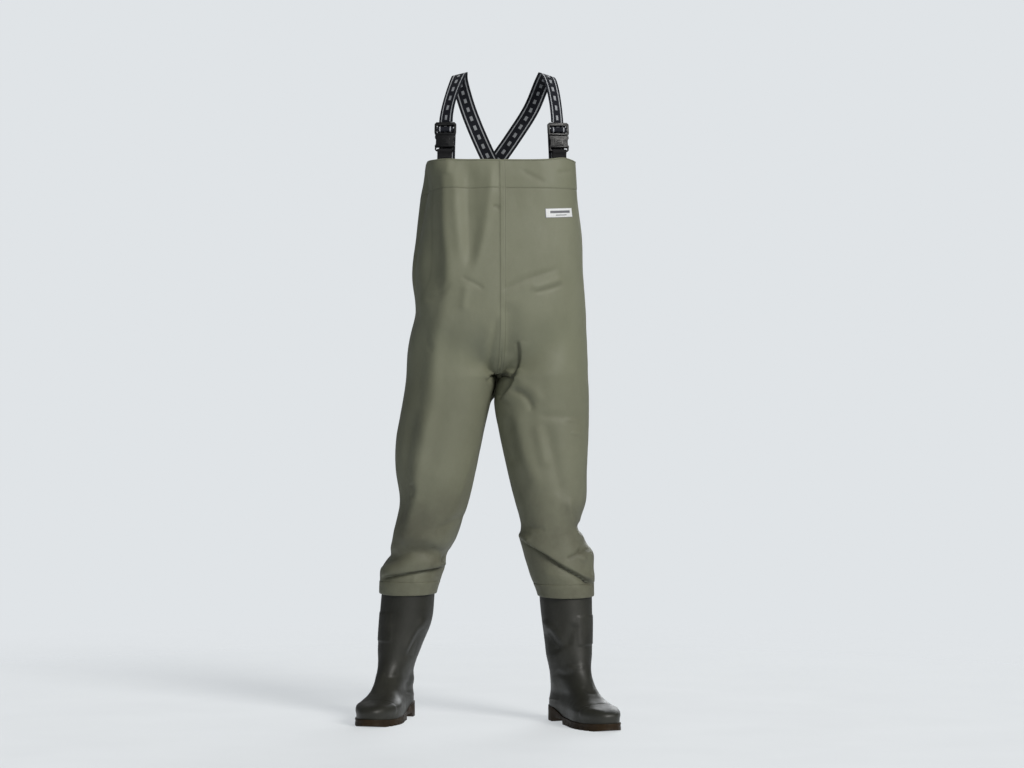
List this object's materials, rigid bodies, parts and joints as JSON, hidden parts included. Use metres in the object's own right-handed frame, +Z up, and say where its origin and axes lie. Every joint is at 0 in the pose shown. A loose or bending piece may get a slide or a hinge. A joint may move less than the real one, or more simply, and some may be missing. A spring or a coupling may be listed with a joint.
{
  "type": "chest waders",
  "caption": "Olive coated-fabric chest waders welded to moulded safety boots, held up by crossed elastic braces with side-release buckles.",
  "frame": {"origin": "on the ground, under the middle of the bounding box", "axes": "+Z up, -Y the way the wearer faces, +X the wearer's left"},
  "size_m": [0.6102, 0.3886, 1.5164],
  "materials": {
    "coated_fabric": "olive PVC-coated fabric, satin, softly creased",
    "boot_pvc": "dark olive-black moulded PVC, satin",
    "sole_pvc": "dark brown moulded PVC, matte",
    "insole": "grey felt",
    "steel": "bare pressed steel",
    "elastic": "navy-black woven elastic with two pale grey stripes",
    "webbing": "black woven webbing",
    "buckle_plastic": "black moulded acetal, satin",
    "label": "white printed tag, satin"
  },
  "bodies": {
    "waders": {"front_seam_tape": "coated_fabric", "back_seam_tape": "coated_fabric", "chest_label": "label", "cross_patch": "webbing", "left_fabric_half": "coated_fabric", "left_bib_facing": "coated_fabric", "left_inner_seam_tape": "coated_fabric", "left_hem_tape": "coated_fabric", "left_boot": "boot_pvc", "left_insole": "insole", "left_toe_cap": "steel", "left_outsole": "sole_pvc", "left_buckle_housing": "buckle_plastic", "left_back_ring": "buckle_plastic", "left_buckle_tab": "webbing", "left_back_tab": "webbing", "left_brace_end": "elastic", "left_front_brace": "elastic", "left_back_brace": "elastic", "right_fabric_half": "coated_fabric", "right_bib_facing": "coated_fabric", "right_inner_seam_tape": "coated_fabric", "right_hem_tape": "coated_fabric", "right_boot": "boot_pvc", "right_insole": "insole", "right_toe_cap": "steel", "right_outsole": "sole_pvc", "right_buckle_housing": "buckle_plastic", "right_back_ring": "buckle_plastic", "right_buckle_tab": "webbing", "right_back_tab": "webbing", "right_brace_end": "elastic", "right_front_brace": "elastic", "right_back_brace": "elastic"},
    "left_clip": {"left_buckle_clip": "buckle_plastic", "left_adjuster_loop": "elastic", "left_brace_tail": "elastic"},
    "left_outer_arm": {"left_clip_arm_outer": "buckle_plastic"},
    "left_inner_arm": {"left_clip_arm_inner": "buckle_plastic"},
    "right_clip": {"right_buckle_clip": "buckle_plastic", "right_adjuster_loop": "elastic", "right_brace_tail": "elastic"},
    "right_outer_arm": {"right_clip_arm_outer": "buckle_plastic"},
    "right_inner_arm": {"right_clip_arm_inner": "buckle_plastic"}
  },
  "joints": [
    {"name": "left_clip_slide", "type": "slide", "parent": "waders", "child": "left_clip", "axis": [-0.04, 0.1488, 0.9881], "range_m": [0, 0.03], "deforming": ["left_front_brace"]},
    {"name": "left_outer_arm_flex", "type": "hinge", "parent": "left_clip", "child": "left_outer_arm", "pos_m": [0.17821, -0.04263, 1.35682], "axis": [-0.2568, 0.9541, -0.1541], "range_deg": [0, 9], "stiffness_Nm_per_rad": 0.3},
    {"name": "left_inner_arm_flex", "type": "hinge", "parent": "left_clip", "child": "left_inner_arm", "pos_m": [0.15021, -0.05017, 1.35682], "axis": [0.2568, -0.9541, 0.1541], "range_deg": [0, 9], "stiffness_Nm_per_rad": 0.3},
    {"name": "right_clip_slide", "type": "slide", "parent": "waders", "child": "right_clip", "axis": [0.0238, 0.1806, 0.9833], "range_m": [0, 0.03], "deforming": ["right_front_brace"]},
    {"name": "right_outer_arm_flex", "type": "hinge", "parent": "right_clip", "child": "right_outer_arm", "pos_m": [-0.1108, -0.06388, 1.35656], "axis": [-0.1286, -0.9748, 0.1822], "range_deg": [0, 9], "stiffness_Nm_per_rad": 0.3},
    {"name": "right_inner_arm_flex", "type": "hinge", "parent": "right_clip", "child": "right_inner_arm", "pos_m": [-0.08205, -0.06767, 1.35656], "axis": [0.1286, 0.9748, -0.1822], "range_deg": [0, 9], "stiffness_Nm_per_rad": 0.3}
  ]
}
